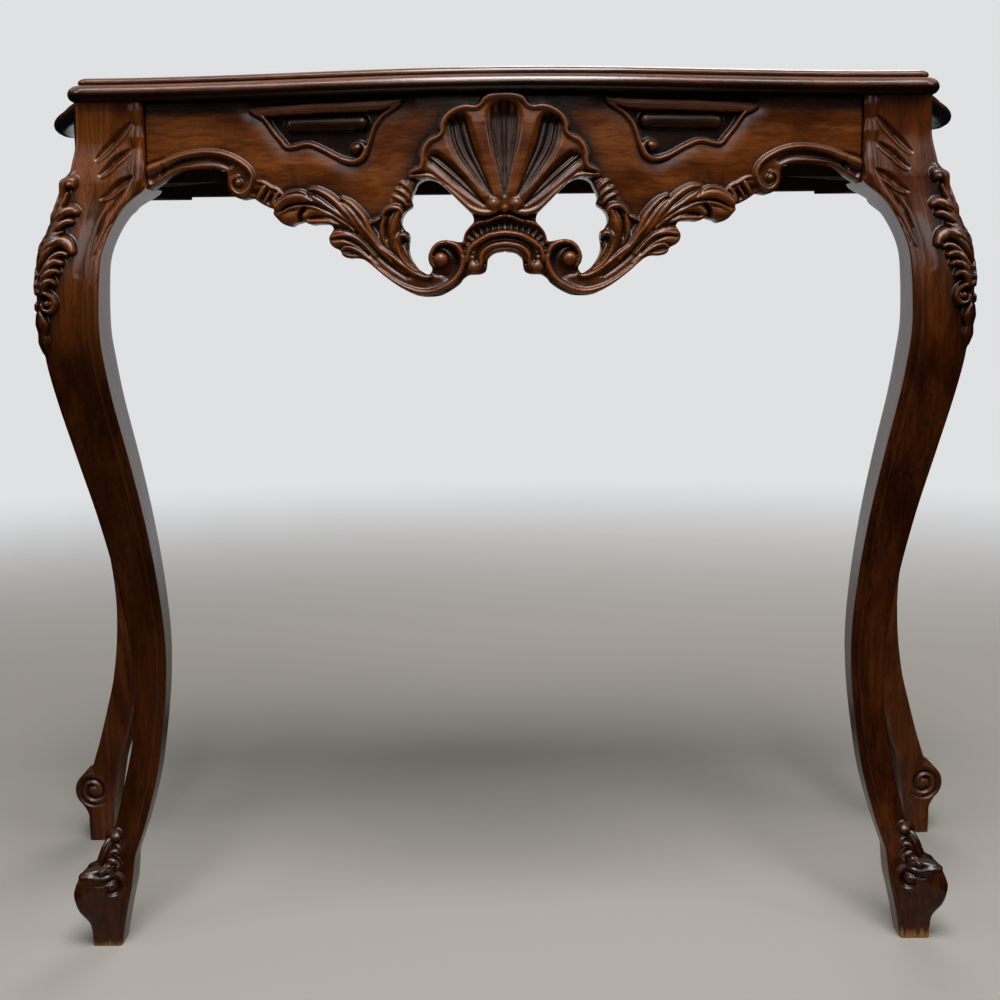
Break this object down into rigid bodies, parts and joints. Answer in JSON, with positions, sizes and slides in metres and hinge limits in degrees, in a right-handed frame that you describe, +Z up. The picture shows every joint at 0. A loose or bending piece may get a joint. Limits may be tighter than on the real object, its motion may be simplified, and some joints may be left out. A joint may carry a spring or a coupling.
{
  "type": "side table",
  "caption": "Console side table with cabriole legs, a pierced and carved bow-front apron with a shell, and a moulded serpentine top that is wider at the back.",
  "frame": {"origin": "on the floor, under the middle of the table's bounding box", "axes": "+X to the right along the table's width, -Y to the carved front, +Z up"},
  "size_m": [0.916, 0.335, 0.75],
  "materials": {
    "polished_walnut": "dark red-brown stained walnut, polished, darker in the carved recesses",
    "stained_frame_wood": "dark stained hardwood, unpolished",
    "dowel_wood": "plain beech",
    "screw_steel": "plain steel wood screw"
  },
  "bodies": {
    "root": {"tabletop": "polished_walnut", "front_apron": "polished_walnut", "left_side_apron": "polished_walnut", "right_side_apron": "polished_walnut", "front_left_leg": "polished_walnut", "front_right_leg": "polished_walnut", "back_left_leg": "polished_walnut", "back_right_leg": "polished_walnut", "back_rail": "stained_frame_wood", "front_left_corner_block": "stained_frame_wood", "front_right_corner_block": "stained_frame_wood", "back_left_corner_block": "stained_frame_wood", "back_right_corner_block": "stained_frame_wood", "apron_left_upper_dowel": "dowel_wood", "apron_left_lower_dowel": "dowel_wood", "left_side_front_upper_dowel": "dowel_wood", "left_side_front_lower_dowel": "dowel_wood", "left_side_back_upper_dowel": "dowel_wood", "left_side_back_lower_dowel": "dowel_wood", "back_rail_left_upper_dowel": "dowel_wood", "back_rail_left_lower_dowel": "dowel_wood", "apron_right_upper_dowel": "dowel_wood", "apron_right_lower_dowel": "dowel_wood", "right_side_front_upper_dowel": "dowel_wood", "right_side_front_lower_dowel": "dowel_wood", "right_side_back_upper_dowel": "dowel_wood", "right_side_back_lower_dowel": "dowel_wood", "back_rail_right_upper_dowel": "dowel_wood", "back_rail_right_lower_dowel": "dowel_wood", "front_left_block_apron_screw": "screw_steel", "front_left_block_side_screw": "screw_steel", "back_left_block_rail_screw": "screw_steel", "back_left_block_side_screw": "screw_steel", "front_left_top_screw": "screw_steel", "back_left_top_screw": "screw_steel", "front_right_block_apron_screw": "screw_steel", "front_right_block_side_screw": "screw_steel", "back_right_block_rail_screw": "screw_steel", "back_right_block_side_screw": "screw_steel", "front_right_top_screw": "screw_steel", "back_right_top_screw": "screw_steel"}
  },
  "joints": []
}
